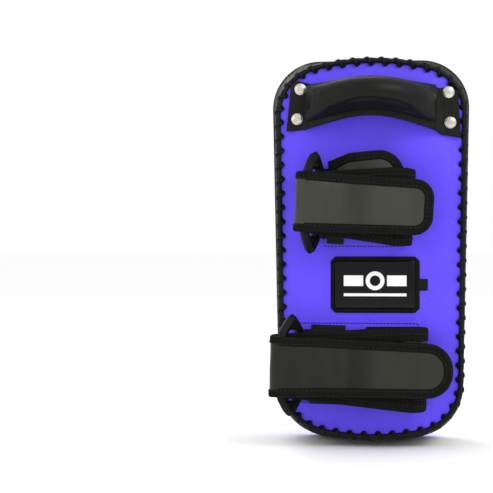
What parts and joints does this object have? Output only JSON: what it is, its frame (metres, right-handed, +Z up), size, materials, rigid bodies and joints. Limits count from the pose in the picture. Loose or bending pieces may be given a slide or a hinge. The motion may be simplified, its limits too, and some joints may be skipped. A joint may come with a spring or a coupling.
{
  "type": "thai pad",
  "caption": "Laced leather foam kick pad with a riveted padded handle and ringed hook-and-loop forearm straps on its back.",
  "frame": {"origin": "centre of the footprint, on the surface that the pad stands on", "axes": "+Z up along the pad's length, towards the handle; +Y out of the strike face; -Y out of the back with the handle and straps; +X to the right as seen from the back"},
  "size_m": [0.206, 0.1499, 0.396],
  "materials": {
    "purple_leather": "satin",
    "black_leather": "satin",
    "lace": "satin",
    "soft_foam": "matte",
    "firm_foam": "matte",
    "nickel": "polished",
    "label_rim": "satin",
    "label_gloss": "gloss",
    "woven_tag": "matte",
    "strap_fabric": "matte",
    "strap_vinyl": "satin",
    "binding": "matte",
    "hook_and_loop": "matte",
    "ring_steel": "satin",
    "ring_sleeve": "satin"
  },
  "bodies": {
    "pad": {"strike_cover": "purple_leather", "side_gusset": "black_leather", "back_cover": "purple_leather", "edge_lacing": "lace", "face_foam": "soft_foam", "core_foam": "firm_foam", "back_foam": "soft_foam", "handle_strap": "black_leather", "handle_padding": "soft_foam", "handle_cover": "black_leather", "handle_rivets": "nickel", "rivet_washers": "nickel", "label_backing": "label_rim", "label_face": "label_gloss", "size_tag": "woven_tag", "upper_panel": "purple_leather", "upper_keeper": "strap_fabric", "upper_strap_root": "strap_fabric", "upper_strap_arm": "strap_fabric", "upper_loop_patch": "hook_and_loop", "lower_panel": "purple_leather", "lower_keeper": "strap_fabric", "lower_strap_root": "strap_fabric", "lower_strap_arm": "strap_fabric", "lower_loop_patch": "hook_and_loop"},
    "upper_ring": {"upper_ring_core": "ring_steel", "upper_ring_sleeve": "ring_sleeve", "upper_strap_turn": "strap_vinyl"},
    "upper_tail": {"upper_flap": "strap_vinyl", "upper_flap_binding": "binding", "upper_hook_patch": "hook_and_loop"},
    "upper_tongue": {"upper_tongue_cover": "strap_vinyl", "upper_tongue_foam": "soft_foam", "upper_tongue_binding": "binding"},
    "lower_ring": {"lower_ring_core": "ring_steel", "lower_ring_sleeve": "ring_sleeve", "lower_strap_turn": "strap_vinyl"},
    "lower_tail": {"lower_flap": "strap_vinyl", "lower_flap_binding": "binding", "lower_hook_patch": "hook_and_loop"},
    "lower_tongue": {"lower_tongue_cover": "strap_vinyl", "lower_tongue_foam": "soft_foam", "lower_tongue_binding": "binding"}
  },
  "joints": [
    {"name": "upper_ring_swing", "type": "hinge", "parent": "pad", "child": "upper_ring", "pos_m": [-0.05093, -0.0285, 0.24267], "axis": [-0.0523, 0, -0.9986], "range_deg": [0, 15], "deforming": ["upper_strap_arm"]},
    {"name": "upper_flap_peel", "type": "hinge", "parent": "upper_ring", "child": "upper_tail", "pos_m": [-0.06365, -0.06002, 0.24334], "axis": [-0.0523, 0, -0.9986], "range_deg": [0, 150], "deforming": ["upper_strap_turn"]},
    {"name": "upper_tongue_swing", "type": "hinge", "parent": "pad", "child": "upper_tongue", "pos_m": [-0.04, -0.026, 0.256], "axis": [-0.0872, 0, 0.9962], "range_deg": [0, 6]},
    {"name": "lower_ring_swing", "type": "hinge", "parent": "pad", "child": "lower_ring", "pos_m": [-0.06898, -0.0285, 0.08311], "axis": [-0.0262, 0, -0.9997], "range_deg": [0, 15], "deforming": ["lower_strap_arm"]},
    {"name": "lower_flap_peel", "type": "hinge", "parent": "lower_ring", "child": "lower_tail", "pos_m": [-0.08847, -0.05635, 0.08362], "axis": [-0.0262, 0, -0.9997], "range_deg": [0, 150], "deforming": ["lower_strap_turn"]},
    {"name": "lower_tongue_swing", "type": "hinge", "parent": "pad", "child": "lower_tongue", "pos_m": [-0.058, -0.026, 0.082], "axis": [0.0523, 0, 0.9986], "range_deg": [0, 4.5]}
  ]
}
